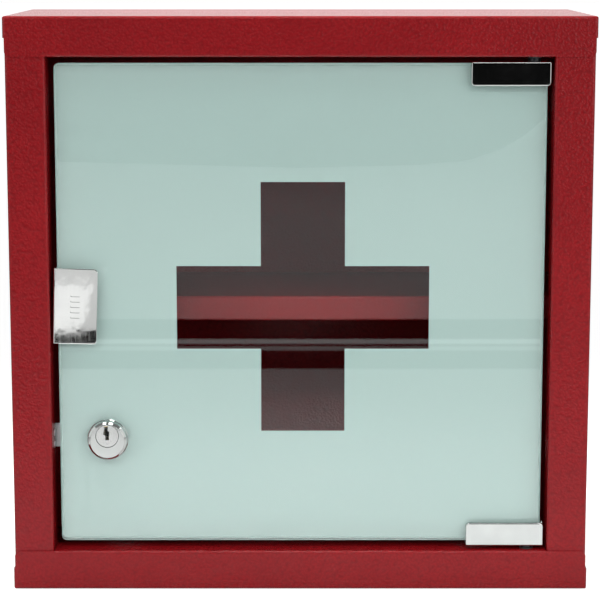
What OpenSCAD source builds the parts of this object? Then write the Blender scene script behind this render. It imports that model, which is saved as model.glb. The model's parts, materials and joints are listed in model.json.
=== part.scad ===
// Lockable wall-hung medicine cabinet: a folded steel box with a frosted glass
// door on two pivots, a cam lock, a push plate and a magnetic touch latch.
// Frame: x to the right seen from the front, +y from the door into the
// cabinet, z up. The origin is the centre of the base.

/* [Cabinet] */
// Overall width of the cabinet
cabinet_w = 300; // [270:5:360]
// Overall height of the cabinet
cabinet_h = 298; // [290:1:360]
// Overall depth of the cabinet
cabinet_d = 120; // [110:5:160]
// Thickness of the sheet steel
sheet_t = 0.8; // [0.6:0.1:1]
// Inner radius of the bends in the sheet
bend_r = 0.6; // [0.4:0.1:0.9]

/* [Front frame] */
// Height of the front flange of the top and bottom pans
rail_h = 20.5; // [18:0.5:26]
// Width of the front flange of a side panel, from the cabinet's side
stile_w = 21.2; // [18:0.1:26]
// Depth of the returns round the door opening, from the cabinet's front
return_d = 17.5; // [16:0.5:18.5]
// Height of the skirts of the pans outside the side and back panels
skirt_h = 11; // [8:0.5:14]
// Radius of the free corners of the pans' front flanges
flange_corner_r = 3; // [1:0.5:5]

/* [Back] */
// Depth of the rear flanges of the side panels and of the back panel
back_flange = 15; // [10:1:20]
// Diameter of the four wall fixing holes
wall_hole_d = 6; // [4:0.5:8]
// Spacing of the wall fixing holes across the cabinet
wall_hole_dx = 200; // [140:10:210]
// Spacing of the wall fixing holes up the cabinet
wall_hole_dz = 200; // [140:10:230]

/* [Shelf] */
// Height of the shelf's top face above the base
shelf_z = 150.8; // [140:0.1:160]
// Height of the shelf's front and rear lips
shelf_lip_h = 12.9; // [9:0.1:16]
// Width of the hem along the bottom of the shelf's front lip
shelf_hem = 6; // [3:0.5:7]
// Distance of the shelf's front lip behind the cabinet's front
shelf_setback = 30; // [28:0.5:34]
// Gap between the shelf's ends and the side panels
shelf_gap = 0.6; // [0.3:0.1:1.2]
// Leg of the angle rails that carry the shelf
shelf_rail_leg = 12; // [10:0.5:16]
// Thread diameter of the shelf's screws
shelf_screw_d = 4; // [3:0.5:4.5]

/* [Door glass] */
// Thickness of the door glass
glass_t = 4; // [3:0.5:4.5]
// Distance of the glass behind the cabinet's front
glass_recess = 5; // [4.8:0.1:5.6]
// Gap between the glass and the opening at the lock side
gap_left = 3.8; // [2.9:0.1:4.4]
// Gap between the glass and the opening at the hinge side
gap_right = 3.3; // [2.9:0.1:4]
// Gap between the glass and the opening at the top
gap_top = 3.3; // [2.8:0.1:4]
// Gap between the glass and the opening at the bottom
gap_bottom = 4.4; // [4:0.1:5]
// Radius of the corners of the glass
glass_corner_r = 2.5; // [1:0.5:4]
// Thickness of the frosted film on the back of the glass
film_t = 0.2; // [0.1:0.05:0.4]
// Bare margin between the film and the edge of the glass
film_margin = 0.5; // [0.3:0.1:2]
// Overall height and width of the clear cross
cross_span = 130.3; // [100:0.1:160]
// Width of the arms of the clear cross
cross_arm = 43.3; // [25:0.1:55]
// Distance of the cross to the right of the middle of the glass
cross_right = 1.1; // [0:0.1:3]
// Distance of the cross below the middle of the glass
cross_down = 1.2; // [0:0.1:3]

/* [Hinges] */
// Width of the glass clamps
clamp_w = 40.7; // [34:0.1:50]
// Height of the glass clamps
clamp_h = 12.4; // [11.5:0.1:16]
// Thickness of the clamps' front leg
clamp_t = 1.5; // [1.2:0.1:2]
// Thickness of the clamps' web over the edge of the glass
clamp_web = 0.8; // [0.6:0.1:1.2]
// Thickness of the clamps' rear leg, which holds the set screws
clamp_back_t = 3.5; // [2.5:0.1:4]
// Distance by which the clamps reach past the side of the glass
clamp_overhang = 1.8; // [0.5:0.1:2]
// Radius of the free corners of the clamps
clamp_corner_r = 2; // [1:0.1:3]
// Thickness of the soft pads behind the glass
pad_t = 1; // [0.8:0.1:1.5]
// Thickness of the soft pad the glass stands on in the bottom clamp
rest_pad_t = 1.8; // [0.8:0.1:2]
// Diameter of the clamps' set screws
set_screw_d = 4; // [3:0.1:4.5]
// Distance of the pivot axis from the side edge of the glass
pivot_inset = 6.8; // [6.2:0.1:9]
// Distance of the pivot axis behind the cabinet's front
pivot_depth = 7; // [6.6:0.1:8]
// Diameter of the pivot pins
pivot_d = 4; // [3:0.1:4.5]
// Diameter of the collar of the pivot bushes
bush_collar_d = 7.2; // [6.8:0.1:9]

/* [Push plate] */
// Width of the push plate
plate_w = 22.8; // [18:0.1:26]
// Height of the push plate
plate_h = 39.4; // [34:0.1:48]
// Thickness of the push plate
plate_t = 1.2; // [0.8:0.1:1.4]
// Gap between the fold of the push plate and the edge of the glass
plate_gap = 1.1; // [0.3:0.1:1.3]
// Height of the middle of the push plate above the shelf
plate_rise = -1.3; // [-4:0.1:6]
// Diameter of the push plate's set screws
plate_screw_d = 3; // [2.5:0.1:3.5]

/* [Touch latch] */
// Width of the latch housing
latch_w = 13; // [12:0.5:15]
// Height of the latch housing
latch_h = 13; // [12:0.5:15]
// Length of the latch housing
latch_len = 42; // [38:1:50]
// Diameter of the latch plunger
plunger_d = 8; // [7.6:0.1:9]
// Travel of the plunger into the housing
plunger_travel = 4; // [2:0.5:5]
// Diameter of the magnet in the plunger's tip
magnet_d = 6; // [4:0.1:6.4]

/* [Lock] */
// Distance of the lock axis from the side edge of the glass
lock_inset = 24.9; // [23:0.1:30]
// Height of the lock axis above the bottom edge of the glass
lock_rise = 54.4; // [48:0.1:64]
// Diameter of the lock's bezel on the glass
bezel_d = 21.2; // [20.6:0.1:24]
// Diameter of the lock's flat face
face_d = 18; // [17.5:0.1:19]
// Height of the lock's face above the glass
lock_proud = 4.7; // [3.5:0.1:4.8]
// Height of the bezel's rim
rim_h = 0.9; // [0.5:0.1:1.5]
// Diameter of the lock body through the glass
body_d = 18; // [17.6:0.1:19]
// Length of the lock body behind the front of the glass
body_len = 16; // [15.5:0.1:17]
// Diameter of the lock plug
plug_d = 11.6; // [10.5:0.1:11.6]
// Height of the plug axis above the lock axis
plug_rise = 2.6; // [2.2:0.1:2.7]
// Width across the flats of the lock nut
nut_af = 24; // [22:0.5:27]
// Length of the cam from the plug axis to its tip
cam_len = 28; // [26.5:0.5:30]
// Width of the cam
cam_w = 12.4; // [10:0.1:14]
// Thickness of the cam
cam_t = 2; // [1.5:0.1:2.5]
// Thickness of the keeper plate behind the door opening
keeper_t = 1; // [0.8:0.1:1.2]
// Height of the keeper plate
keeper_h = 12.6; // [10:0.1:16]

/* [Hidden] */
$fn = 64;

// Clearances
run_gap = 0.05;       // radial clearance of a turning or sliding fit
thread_gap = 0.02;    // radial clearance of a screw in its thread
slip_gap = 0.2;       // clearance of a fixed piece beside another
move_gap = 0.3;       // clearance between pieces that move past each other
cut = 1;              // length by which a cut runs past a face

// Planes of the cabinet
bend_out = bend_r + sheet_t;
front_y = -cabinet_d / 2;
back_y = cabinet_d / 2;
skin_x = cabinet_w / 2 - sheet_t;
skin_front_y = front_y + sheet_t;
skin_back_y = back_y - sheet_t;
seat_back_y = skin_back_y - sheet_t;
wall_in_x = skin_x - sheet_t;
open_x = cabinet_w / 2 - stile_w;
open_low_z = rail_h;
open_high_z = cabinet_h - rail_h;
return_y = front_y + return_d;
panel_low_z = sheet_t + bend_r + slip_gap / 2;
panel_len = cabinet_h - 2 * panel_low_z;
return_half_w = open_x - move_gap;

// Back panel
back_half_w = skin_x - bend_r - slip_gap / 2;
back_core_half_w = skin_x - back_flange - slip_gap;

// Shelf
shelf_front_y = front_y + shelf_setback;
shelf_back_y = seat_back_y - sheet_t - 2 * slip_gap;
shelf_half_w = wall_in_x - shelf_gap;
shelf_under_z = shelf_z - sheet_t;
shelf_rail_gap = 2;
shelf_rail_front_y = shelf_front_y + shelf_hem + shelf_rail_gap;
shelf_rail_back_y = shelf_back_y - sheet_t - shelf_rail_gap;
shelf_screw_inset = 12;
shelf_screw_ys = [shelf_rail_front_y + shelf_screw_inset, shelf_rail_back_y - shelf_screw_inset];
shelf_screw_len = 9;
shelf_nut_h = 0.8 * shelf_screw_d;
shelf_nut_r = shelf_screw_d;
shelf_nut_gap = 1;
shelf_screw_x = wall_in_x - sheet_t - shelf_nut_gap - shelf_nut_r;

// Door
glass_x0 = -open_x + gap_left;
glass_x1 = open_x - gap_right;
glass_z0 = open_low_z + gap_bottom;
glass_z1 = open_high_z - gap_top;
glass_front_y = front_y + glass_recess;
glass_back_y = glass_front_y + glass_t;
film_back_y = glass_back_y + film_t;
pad_back_y = film_back_y + pad_t;
cross_x = (glass_x0 + glass_x1) / 2 + cross_right;
cross_z = (glass_z0 + glass_z1) / 2 - cross_down;

// Hinges
pivot_x = glass_x1 - pivot_inset;
pivot_y = front_y + pivot_depth;
bottom_clamp_z = glass_z0 - rest_pad_t;
clamp_x1 = glass_x1 + clamp_overhang;
clamp_x0 = clamp_x1 - clamp_w;
clamp_front_y = glass_front_y - clamp_t;
clamp_back_y = pad_back_y + clamp_back_t;
bush_collar_t = 0.6;
bush_wall = 1;
bush_len = 3;
bush_lip_t = 0.8;
bush_lip = 0.4;
end_play = 0.2;
pin_shoulder = 1.2;
pin_step = 0.5;
shoulder_r = pivot_d / 2 + pin_shoulder;
spigot_r = pivot_d / 2 - pin_step;
hinge_pad_margin = 2.5;
hinge_pad_h = clamp_h - clamp_web - hinge_pad_margin;
set_screw_xs = [clamp_x0 + clamp_w / 4, clamp_x0 + clamp_w / 2];
set_screw_proud = 0.4;

// Push plate and touch latch
plate_x0 = glass_x0 - plate_gap - plate_t;
plate_x1 = plate_x0 + plate_w;
plate_z = shelf_z + plate_rise;
plate_back_y = pad_back_y + plate_t;
plate_screw_inset = 6;
plate_screw_rise = plate_h / 2 - plate_screw_inset;
plate_screw_zs = [plate_z - plate_screw_rise, plate_z + plate_screw_rise];
plate_screw_proud = 0.2;
grip_count = 5;
grip_pitch = 2.8;
grip_w = 5;
grip_h = 1.1;
grip_depth = 0.2;
latch_x = (plate_x0 + plate_x1) / 2;
latch_z = shelf_z + latch_h / 2;
plunger_tip_y = plate_back_y + move_gap;
plunger_proud = 1.2;
latch_front_y = plunger_tip_y + plunger_travel + plunger_proud;
latch_back_y = latch_front_y + latch_len;
plunger_len = 32;
plunger_back_y = plunger_tip_y + plunger_len;
latch_bore_r = plunger_d / 2 + run_gap;
cap_t = 3;
spring_back_y = latch_back_y - cap_t;
latch_corner_r = 1.5;
magnet_t = 2.5;
spring_wire_r = 0.35;
spring_inset = 1;
spring_seat_gap = 0.85;
spring_coil_r = plunger_d / 2 - spring_inset;
spring_seat_r = spring_coil_r - spring_wire_r - spring_seat_gap;
foot_t = 2.2;
foot_w = 9;
foot_screw_d = 3;
foot_screw_inset = 5;
foot_screw_x = latch_x + latch_w / 2 + foot_w / 2;
foot_screw_ys = [shelf_front_y + foot_screw_inset, spring_back_y - foot_screw_inset];

// Lock
lock_x = glass_x0 + lock_inset;
lock_z = glass_z0 + lock_rise;
plug_z = lock_z + plug_rise;
lock_face_y = glass_front_y - lock_proud;
lock_back_y = glass_front_y + body_len;
plug_sunk = 0.3;
bezel_bevel = 0.3;
key_steps = [5.2, 2.5, 0.5, -2.1];
key_sides = [[-1.6, 0.4], [-1.9, 1.1], [-1, 0.9]];
dimple_d = 2;
dimple_depth = 0.2;
dimple_right = 0.2;
dimple_drop = 3.2;
gasket_t = 1;
nut_t = 3;
key_slot_depth = 12;
cam_front_y = lock_back_y + move_gap;
cam_back_y = cam_front_y + cam_t;
tail_side = 7;
cam_hub_wall = 3.5;
cam_tip_r = 2;
cam_catch = 4;
washer_t = 0.8;
washer_wall = 2;
cam_screw_d = 4;
wafer_count = 4;
wafer_pitch = 2.4;
wafer_t = 0.8;
wafer_w = 5.4;
wafer_h = 9.8;
keeper_back_y = cam_front_y - 2 * move_gap;
keeper_inset = 2;
keeper_drop = 1;
keeper_tip_x = lock_x - cam_len + cam_catch;
keeper_seat_x = -open_x - sheet_t;
keeper_z = lock_z - keeper_drop;
rivet_d = 2.4;
rivet_y = return_y - return_d / 3;
rivet_zs = [keeper_z - keeper_h / 4, keeper_z + keeper_h / 4];
rivet_head_t = 0.5;
rivet_head_lip = 0.6;

// Colours
paint = [0.55, 0.10, 0.12];
steel = [0.78, 0.79, 0.80];
zinc = [0.66, 0.67, 0.68];
frost = [0.67, 0.77, 0.75];
clear = [0.72, 0.84, 0.82, 0.35];
nylon = [0.16, 0.16, 0.16];
rubber_black = [0.09, 0.09, 0.09];
brass = [0.76, 0.62, 0.30];
grey_plastic = [0.62, 0.62, 0.60];

// ---- Helpers -------------------------------------------------------------

// Axis-parallel rectangle between two corners
module strip(x0, y0, x1, y1) {
    translate([min(x0, x1), min(y0, y1)])
        square([abs(x1 - x0), abs(y1 - y0)]);
}

// Block between two corners
module block(low, high) {
    translate(low)
        cube(high - low);
}

// Quarter ring of bent sheet whose outer corner is at x, y; the two legs run
// on towards sx and sy
module bend_at(x, y, sx, sy, t = sheet_t, r = bend_r) {
    outer = r + t;
    translate([x + sx * outer, y + sy * outer])
        intersection() {
            difference() {
                circle(r = outer);
                circle(r = r);
            }
            translate([-sx * outer / 2, -sy * outer / 2])
                square(outer, center = true);
        }
}

// Rectangle with its centre at the origin and round corners
module round_rect(w, h, r) {
    square([w - 2 * r, h], center = true);
    square([w, h - 2 * r], center = true);
    for (sx = [-1, 1], sy = [-1, 1])
        translate([sx * (w / 2 - r), sy * (h / 2 - r)])
            circle(r = r);
}

// Extrudes a profile drawn in x, z along y, from y0 to y1
module along_y(y0, y1) {
    translate([0, y1, 0])
        rotate([90, 0, 0])
            linear_extrude(height = y1 - y0)
                children();
}

// Extrudes a profile drawn in y, z along x, from x0 to x1
module along_x(x0, x1) {
    translate([x0, 0, 0])
        rotate([90, 0, 90])
            linear_extrude(height = x1 - x0)
                children();
}

// Extrudes a profile drawn in x, y along z, from z0 to z1
module along_z(z0, z1) {
    translate([0, 0, z0])
        linear_extrude(height = z1 - z0)
            children();
}

// Round bar along y, from y0 to y1; r1 gives its radius at y1 when it tapers
module rod_y(x, z, r, y0, y1, r1 = undef) {
    translate([x, y1, z])
        rotate([90, 0, 0])
            cylinder(h = y1 - y0, r1 = is_undef(r1) ? r : r1, r2 = r);
}

// Round bar along z, from z0 to z1
module rod_z(x, y, r, z0, z1) {
    translate([x, y, z0])
        cylinder(h = z1 - z0, r = r);
}

// Round bar along x, from x0 to x1
module rod_x(y, z, r, x0, x1) {
    translate([x0, y, z])
        rotate([0, 90, 0])
            cylinder(h = x1 - x0, r = r);
}

// ---- Cabinet -------------------------------------------------------------

// Solid form of a pan, shrunk by inset from the outer faces; its plate is at z = 0
module pan_form(inset) {
    r = bend_out - inset;
    w = cabinet_w - 2 * inset;
    d = cabinet_d - 2 * inset;
    h = 2 * (rail_h + cut - inset);
    intersection() {
        along_z(-rail_h - cut, -inset)
            round_rect(w, d, r);
        along_y(-d / 2, d / 2)
            translate([0, -inset - h / 2])
                round_rect(w, h, r);
        along_x(-w / 2, w / 2)
            translate([0, -inset - h / 2])
                round_rect(d, h, r);
    }
}

// Folded pan with a tall front flange, three low skirts and a return into the
// door opening, which carries the pivot bush
module pan() {
    difference() {
        intersection() {
            difference() {
                pan_form(0);
                pan_form(sheet_t);
            }
            union() {
                block([-cabinet_w, -cabinet_d, -skirt_h], [cabinet_w, cabinet_d, cut]);
                along_y(front_y, skin_front_y)
                    translate([0, -rail_h / 2])
                        round_rect(2 * skin_x, rail_h, flange_corner_r);
            }
        }
        block([-return_half_w, front_y - cut, -rail_h - cut],
              [return_half_w, front_y + bend_out, -rail_h + bend_out]);
    }
    difference() {
        along_x(-return_half_w, return_half_w) {
            bend_at(front_y, -rail_h, 1, 1);
            strip(front_y + bend_out, -rail_h, return_y, -rail_h + sheet_t);
        }
        rod_z(pivot_x, pivot_y, pivot_d / 2 + bush_wall + run_gap,
              -rail_h - cut, -rail_h + sheet_t + cut);
    }
}

module top_pan() {
    color(paint)
        translate([0, 0, cabinet_h])
            pan();
}

module bottom_pan() {
    color(paint)
        mirror([0, 0, 1])
            pan();
}

// Right-hand side panel: stile, return and rear flange folded from one sheet
module side_panel() {
    along_z(panel_low_z, panel_low_z + panel_len) {
        strip(wall_in_x, skin_front_y + bend_out, skin_x, seat_back_y - bend_out);
        bend_at(skin_x, skin_front_y, -1, 1);
        strip(open_x + bend_out, skin_front_y, skin_x - bend_out, skin_front_y + sheet_t);
        bend_at(open_x, skin_front_y, 1, 1);
        strip(open_x, skin_front_y + bend_out, open_x + sheet_t, return_y);
        bend_at(skin_x, seat_back_y, -1, -1);
        strip(skin_x - back_flange, seat_back_y - sheet_t, skin_x - bend_out, seat_back_y);
    }
}

module right_side_panel() {
    color(paint)
        side_panel();
}

module left_side_panel() {
    color(paint)
        difference() {
            mirror([1, 0, 0])
                side_panel();
            for (z = rivet_zs)
                rod_x(rivet_y, z, rivet_d / 2 + run_gap, keeper_seat_x - cut, -open_x + cut);
        }
}

// Back panel with wings at its full height and flanges above and below
module back_panel() {
    color(paint)
        difference() {
            union() {
                for (side = [-1, 1])
                    block([side > 0 ? back_core_half_w : -back_half_w, seat_back_y, panel_low_z],
                          [side > 0 ? back_half_w : -back_core_half_w, skin_back_y,
                           panel_low_z + panel_len]);
                along_x(-back_core_half_w, back_core_half_w) {
                    strip(seat_back_y, sheet_t + bend_out, skin_back_y, cabinet_h - sheet_t - bend_out);
                    bend_at(skin_back_y, sheet_t, -1, 1);
                    bend_at(skin_back_y, cabinet_h - sheet_t, -1, -1);
                    strip(skin_back_y - back_flange, sheet_t, skin_back_y - bend_out, 2 * sheet_t);
                    strip(skin_back_y - back_flange, cabinet_h - 2 * sheet_t,
                          skin_back_y - bend_out, cabinet_h - sheet_t);
                }
            }
            for (sx = [-1, 1], sz = [-1, 1])
                rod_y(sx * wall_hole_dx / 2, cabinet_h / 2 + sz * wall_hole_dz / 2,
                      wall_hole_d / 2, seat_back_y - cut, skin_back_y + cut);
        }
}

// ---- Shelf ---------------------------------------------------------------

module shelf_screw_holes(r) {
    for (side = [-1, 1], y = shelf_screw_ys)
        rod_z(side * shelf_screw_x, y, r, shelf_under_z - sheet_t - cut, shelf_z + cut);
}

module shelf() {
    lip_low_z = shelf_z - shelf_lip_h;
    color(paint)
        difference() {
            along_x(-shelf_half_w, shelf_half_w) {
                strip(shelf_front_y + bend_out, shelf_under_z, shelf_back_y - bend_out, shelf_z);
                bend_at(shelf_front_y, shelf_z, 1, -1);
                strip(shelf_front_y, lip_low_z + bend_out, shelf_front_y + sheet_t, shelf_z - bend_out);
                bend_at(shelf_front_y, lip_low_z, 1, 1);
                strip(shelf_front_y + bend_out, lip_low_z,
                      shelf_front_y + shelf_hem, lip_low_z + sheet_t);
                bend_at(shelf_back_y, shelf_z, -1, -1);
                strip(shelf_back_y - sheet_t, lip_low_z, shelf_back_y, shelf_z - bend_out);
            }
            shelf_screw_holes(shelf_screw_d / 2 + slip_gap);
            for (y = foot_screw_ys)
                rod_z(foot_screw_x, y, foot_screw_d / 2 + thread_gap, shelf_under_z - cut, shelf_z + cut);
        }
}

// Angle rail on the right-hand wall, under the shelf
module shelf_rail() {
    difference() {
        along_y(shelf_rail_front_y, shelf_rail_back_y) {
            bend_at(wall_in_x, shelf_under_z, -1, -1);
            strip(wall_in_x - sheet_t, shelf_under_z - shelf_rail_leg,
                  wall_in_x, shelf_under_z - bend_out);
            strip(wall_in_x - shelf_rail_leg, shelf_under_z - sheet_t,
                  wall_in_x - bend_out, shelf_under_z);
        }
        shelf_screw_holes(shelf_screw_d / 2 + slip_gap);
    }
}

module right_shelf_rail() {
    color(paint)
        shelf_rail();
}

module left_shelf_rail() {
    color(paint)
        mirror([1, 0, 0])
            shelf_rail();
}

// Pan-head screw along z with a cross recess; its head stands on z = 0
module pan_screw(d, length) {
    head_r = d;
    head_h = 0.6 * d;
    recess_w = 0.25 * d;
    difference() {
        union() {
            translate([0, 0, -length])
                cylinder(h = length, r = d / 2);
            cylinder(h = head_h, r1 = head_r, r2 = 0.75 * head_r);
        }
        for (turn = [0, 90])
            rotate([0, 0, turn])
                translate([-d / 2, -recess_w / 2, head_h / 2])
                    cube([d, recess_w, head_h]);
    }
}

module shelf_screws() {
    color(steel)
        for (side = [-1, 1], y = shelf_screw_ys)
            translate([side * shelf_screw_x, y, shelf_z])
                pan_screw(shelf_screw_d, shelf_screw_len);
}

module shelf_nuts() {
    color(steel)
        for (side = [-1, 1], y = shelf_screw_ys)
            translate([side * shelf_screw_x, y, shelf_under_z - sheet_t - shelf_nut_h])
                difference() {
                    cylinder(h = shelf_nut_h, r = shelf_nut_r, $fn = 6);
                    translate([0, 0, -cut])
                        cylinder(h = shelf_nut_h + 2 * cut, r = shelf_screw_d / 2 + thread_gap);
                }
}

// ---- Pivots --------------------------------------------------------------

// Snap-in bush of the top pivot, with the pan's return at z = 0
module pivot_bush() {
    r = pivot_d / 2 + bush_wall;
    difference() {
        union() {
            translate([0, 0, -bush_collar_t])
                cylinder(h = bush_collar_t, r = bush_collar_d / 2);
            cylinder(h = bush_len, r = r);
            translate([0, 0, sheet_t + slip_gap / 2])
                cylinder(h = bush_lip_t, r1 = r + bush_lip, r2 = r);
        }
        translate([0, 0, -bush_collar_t - cut])
            cylinder(h = bush_len + bush_collar_t + 2 * cut, r = pivot_d / 2 + run_gap);
    }
}

module top_pivot_bush() {
    color(nylon)
        translate([pivot_x, pivot_y, open_high_z])
            pivot_bush();
}

module bottom_pivot_bush() {
    color(nylon)
        translate([pivot_x, pivot_y, open_low_z])
            mirror([0, 0, 1])
                pivot_bush();
}

// Pin of the top pivot: spigot in the clamp's web, shoulder and shaft. The
// inside of the web is at z = 0 and gap is the gap above it.
module pivot_pin(gap) {
    shoulder_top = gap - bush_collar_t - end_play;
    cylinder(h = clamp_web, r = spigot_r);
    translate([0, 0, clamp_web])
        cylinder(h = shoulder_top - clamp_web, r = shoulder_r);
    translate([0, 0, shoulder_top])
        cylinder(h = gap + bush_len - shoulder_top, r = pivot_d / 2);
}

module top_pivot_pin() {
    color(steel)
        translate([pivot_x, pivot_y, glass_z1])
            pivot_pin(gap_top);
}

module bottom_pivot_pin() {
    color(steel)
        translate([pivot_x, pivot_y, bottom_clamp_z])
            mirror([0, 0, 1])
                pivot_pin(gap_bottom - rest_pad_t);
}

// ---- Hinge clamps --------------------------------------------------------

// Front view of the top clamp; the inside of its web is at z = 0
module clamp_outline() {
    small_r = clamp_corner_r / 4;
    low = clamp_web - clamp_h;
    difference() {
        strip(clamp_x0, low, clamp_x1, clamp_web);
        for (side = [-1, 1]) {
            edge = side > 0 ? clamp_x1 : clamp_x0;
            corner_cut(edge, low, -side, 1, clamp_corner_r);
            corner_cut(edge, clamp_web, -side, -1, small_r);
        }
    }
}

// Waste outside a round corner of radius r at x, y; the body lies towards sx, sy
module corner_cut(x, y, sx, sy, r) {
    difference() {
        strip(x - sx * cut, y - sy * cut, x + sx * r, y + sy * r);
        translate([x + sx * r, y + sy * r])
            circle(r = r);
    }
}

// Channel over the top edge of the glass; the inside of its web is at z = 0
module hinge_clamp() {
    difference() {
        along_y(clamp_front_y, clamp_back_y)
            clamp_outline();
        block([clamp_x0 - cut, glass_front_y, -clamp_h],
              [clamp_x1 + cut, pad_back_y, 0]);
        rod_z(pivot_x, pivot_y, spigot_r + thread_gap, -cut, clamp_web + cut);
        for (x = set_screw_xs)
            rod_y(x, (clamp_web - clamp_h) / 2, set_screw_d / 2 + thread_gap,
                  pad_back_y - cut, clamp_back_y + cut);
    }
}

module top_hinge_clamp() {
    color(steel)
        translate([0, 0, glass_z1])
            hinge_clamp();
}

module bottom_hinge_clamp() {
    color(steel)
        translate([0, 0, bottom_clamp_z])
            mirror([0, 0, 1])
                hinge_clamp();
}

// Applies its children inside the web of the top clamp, and mirrored in the
// bottom clamp
module at_both_hinges() {
    translate([0, 0, glass_z1])
        children();
    translate([0, 0, bottom_clamp_z])
        mirror([0, 0, 1])
            children();
}

// Pads behind the glass in both clamps, and under it in the bottom clamp
module hinge_pads() {
    pad_x0 = clamp_x0 + hinge_pad_margin;
    pad_x1 = glass_x1 - hinge_pad_margin;
    pad_z1 = -hinge_pad_margin / 2;
    color(rubber_black) {
        at_both_hinges()
            block([pad_x0, film_back_y, pad_z1 - hinge_pad_h],
                  [pad_x1, pad_back_y, pad_z1]);
        block([pad_x0, glass_front_y, bottom_clamp_z],
              [pad_x1, glass_back_y, glass_z0]);
    }
}

// Socket set screw along y whose point presses on the pad
module set_screw(x, z, d, y_end) {
    difference() {
        rod_y(x, z, d / 2, pad_back_y, y_end);
        translate([x, y_end + cut, z])
            rotate([90, 0, 0])
                cylinder(h = cut + d / 4, r = d / 4, $fn = 6);
    }
}

module hinge_set_screws() {
    color(zinc)
        at_both_hinges()
            for (x = set_screw_xs)
                set_screw(x, (clamp_web - clamp_h) / 2, set_screw_d, clamp_back_y + set_screw_proud);
}

// ---- Door glass ----------------------------------------------------------

module glass_outline(margin) {
    least_r = 0.5;
    translate([(glass_x0 + glass_x1) / 2, (glass_z0 + glass_z1) / 2])
        round_rect(glass_x1 - glass_x0 - 2 * margin, glass_z1 - glass_z0 - 2 * margin,
                   max(glass_corner_r - margin, least_r));
}

module lock_hole() {
    rod_y(lock_x, lock_z, body_d / 2 + slip_gap, glass_front_y - cut, film_back_y + cut);
}

module door_glass() {
    color(clear)
        difference() {
            along_y(glass_front_y, glass_back_y)
                glass_outline(0);
            lock_hole();
        }
}

// Frosted film with the clear cross cut out of it
module frosted_film() {
    color(frost)
        difference() {
            along_y(glass_back_y, film_back_y)
                difference() {
                    glass_outline(film_margin);
                    translate([cross_x, cross_z]) {
                        square([cross_span, cross_arm], center = true);
                        square([cross_arm, cross_span], center = true);
                    }
                }
            lock_hole();
        }
}

// ---- Push plate ----------------------------------------------------------

// Plan of the push plate, folded round the side edge of the glass
module plate_plan() {
    outer_r = plate_t + slip_gap;
    plate_front_y = glass_front_y - plate_t;
    strip(plate_x0 + outer_r, plate_front_y, plate_x1, glass_front_y);
    bend_at(plate_x0, plate_front_y, 1, 1, plate_t, slip_gap);
    strip(plate_x0, plate_front_y + outer_r, plate_x0 + plate_t, plate_back_y - outer_r);
    bend_at(plate_x0, plate_back_y, 1, -1, plate_t, slip_gap);
    strip(plate_x0 + outer_r, pad_back_y, plate_x1, plate_back_y);
}

module push_plate() {
    low = plate_z - plate_h / 2;
    high = plate_z + plate_h / 2;
    corner_r = 1;
    color(steel)
        difference() {
            along_z(low, high)
                plate_plan();
            along_y(glass_front_y - plate_t - cut, plate_back_y + cut) {
                corner_cut(plate_x1, low, -1, 1, corner_r);
                corner_cut(plate_x1, high, -1, -1, corner_r);
            }
            for (i = [0 : grip_count - 1])
                translate([latch_x, glass_front_y - plate_t,
                           plate_z + (i - (grip_count - 1) / 2) * grip_pitch])
                    cube([grip_w, 2 * grip_depth, grip_h], center = true);
            for (z = plate_screw_zs)
                rod_y(latch_x, z, plate_screw_d / 2 + thread_gap, pad_back_y - cut, plate_back_y + cut);
        }
}

module push_plate_pad() {
    margin = 1.5;
    color(rubber_black)
        block([glass_x0 + margin, film_back_y, plate_z - plate_h / 2 + margin],
              [plate_x1 - margin, pad_back_y, plate_z + plate_h / 2 - margin]);
}

module push_plate_screws() {
    color(zinc)
        for (z = plate_screw_zs)
            set_screw(latch_x, z, plate_screw_d, plate_back_y + plate_screw_proud);
}

// ---- Touch latch ---------------------------------------------------------

module latch_housing() {
    color(grey_plastic)
        difference() {
            union() {
                along_y(latch_front_y, spring_back_y)
                    translate([latch_x, latch_z])
                        round_rect(latch_w, latch_h, latch_corner_r);
                along_z(shelf_z, shelf_z + foot_t)
                    translate([latch_x + (latch_w / 2 + foot_w) / 2, (shelf_front_y + spring_back_y) / 2])
                        round_rect(latch_w / 2 + foot_w, spring_back_y - shelf_front_y, latch_corner_r);
            }
            rod_y(latch_x, latch_z, latch_bore_r, latch_front_y - cut, spring_back_y + cut);
            for (y = foot_screw_ys)
                rod_z(foot_screw_x, y, foot_screw_d / 2 + slip_gap,
                      shelf_z - cut, shelf_z + foot_t + cut);
        }
}

module latch_end_cap() {
    plug_len = 2;
    color(nylon) {
        along_y(spring_back_y, latch_back_y)
            translate([latch_x, latch_z])
                round_rect(latch_w, latch_h, latch_corner_r);
        rod_y(latch_x, latch_z, spring_seat_r, spring_back_y - plug_len, spring_back_y);
    }
}

module latch_screws() {
    screw_len = 7;
    color(steel)
        for (y = foot_screw_ys)
            translate([foot_screw_x, y, shelf_z + foot_t])
                pan_screw(foot_screw_d, screw_len);
}

module latch_plunger() {
    nose = 0.5;
    color(grey_plastic)
        difference() {
            union() {
                rod_y(latch_x, latch_z, plunger_d / 2 - nose, plunger_tip_y, plunger_tip_y + nose,
                      plunger_d / 2);
                rod_y(latch_x, latch_z, plunger_d / 2, plunger_tip_y + nose, plunger_back_y);
            }
            rod_y(latch_x, latch_z, magnet_d / 2 + thread_gap,
                  plunger_tip_y - cut, plunger_tip_y + magnet_t);
        }
}

module latch_magnet() {
    color(zinc)
        rod_y(latch_x, latch_z, magnet_d / 2, plunger_tip_y, plunger_tip_y + magnet_t);
}

// Points of one ring of the spring wire, after a number of turns of the coil
function wire_ring(turn, coil_r, wire_r, rise, sides) =
    [for (k = [0 : sides - 1])
        let (a = 360 * turn, b = 360 * k / sides, r = coil_r + wire_r * cos(b))
            [r * cos(a), rise * turn + wire_r * sin(b), r * sin(a)]];

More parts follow.
